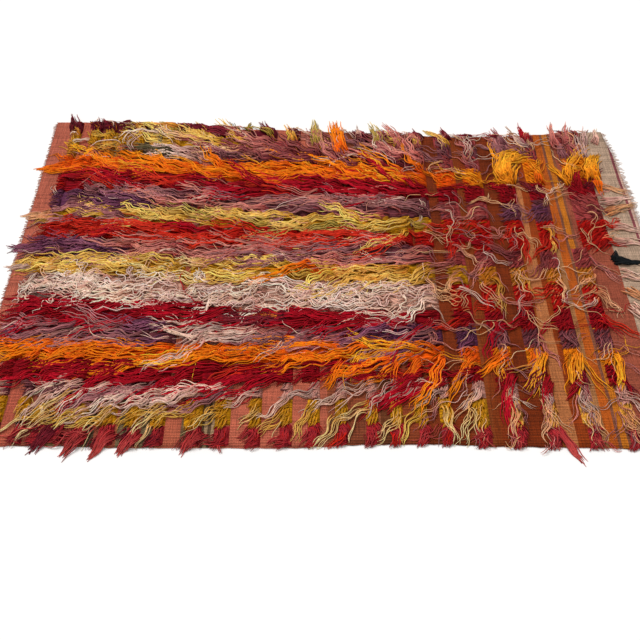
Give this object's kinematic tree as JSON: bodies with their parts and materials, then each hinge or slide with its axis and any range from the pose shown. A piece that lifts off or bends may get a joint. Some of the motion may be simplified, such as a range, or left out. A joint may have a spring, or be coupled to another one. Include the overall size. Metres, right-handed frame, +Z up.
{
  "type": "long pile rug",
  "caption": "Rectangular wool rug with a striped flat-woven ground, bands of long shaggy yarn tufts in warm colours, and short fringed ends.",
  "frame": {"origin": "on the floor under the ground cloth, near its middle", "axes": "+X along the warps from the left fringe to the right one, +Y from the near selvedge to the far one, +Z up"},
  "size_m": [1.982, 1.3305, 0.0233],
  "materials": {
    "ground_wool": "matt woven wool, striped",
    "warp_wool": "matt spun wool",
    "coral_yarn": "matt spun wool",
    "yellow_yarn": "matt spun wool",
    "pink_yarn": "matt spun wool",
    "crimson_yarn": "matt spun wool",
    "orange_yarn": "matt spun wool",
    "mauve_yarn": "matt spun wool",
    "cream_yarn": "matt spun wool",
    "red_yarn": "matt spun wool",
    "plum_yarn": "matt spun wool",
    "wine_yarn": "matt spun wool",
    "dark_yarn": "matt spun wool"
  },
  "bodies": {
    "root": {"ground_cloth": "ground_wool", "fringe_left": "warp_wool", "fringe_right": "warp_wool", "pile_coral_near": "coral_yarn", "pile_yellow_near": "yellow_yarn", "pile_pink_near": "pink_yarn", "pile_crimson_near": "crimson_yarn", "pile_orange_near": "orange_yarn", "pile_mauve_near": "mauve_yarn", "pile_crimson_middle": "crimson_yarn", "pile_cream_middle": "cream_yarn", "pile_yellow_middle": "yellow_yarn", "pile_mauve_middle": "mauve_yarn", "pile_red_middle": "red_yarn", "pile_yellow_back": "yellow_yarn", "pile_mauve_back": "mauve_yarn", "pile_crimson_back": "crimson_yarn", "pile_orange_back": "orange_yarn", "pile_plum_back": "plum_yarn", "pile_yellow_far": "yellow_yarn", "pile_wine_far": "wine_yarn", "dark_lock": "dark_yarn"}
  },
  "joints": []
}
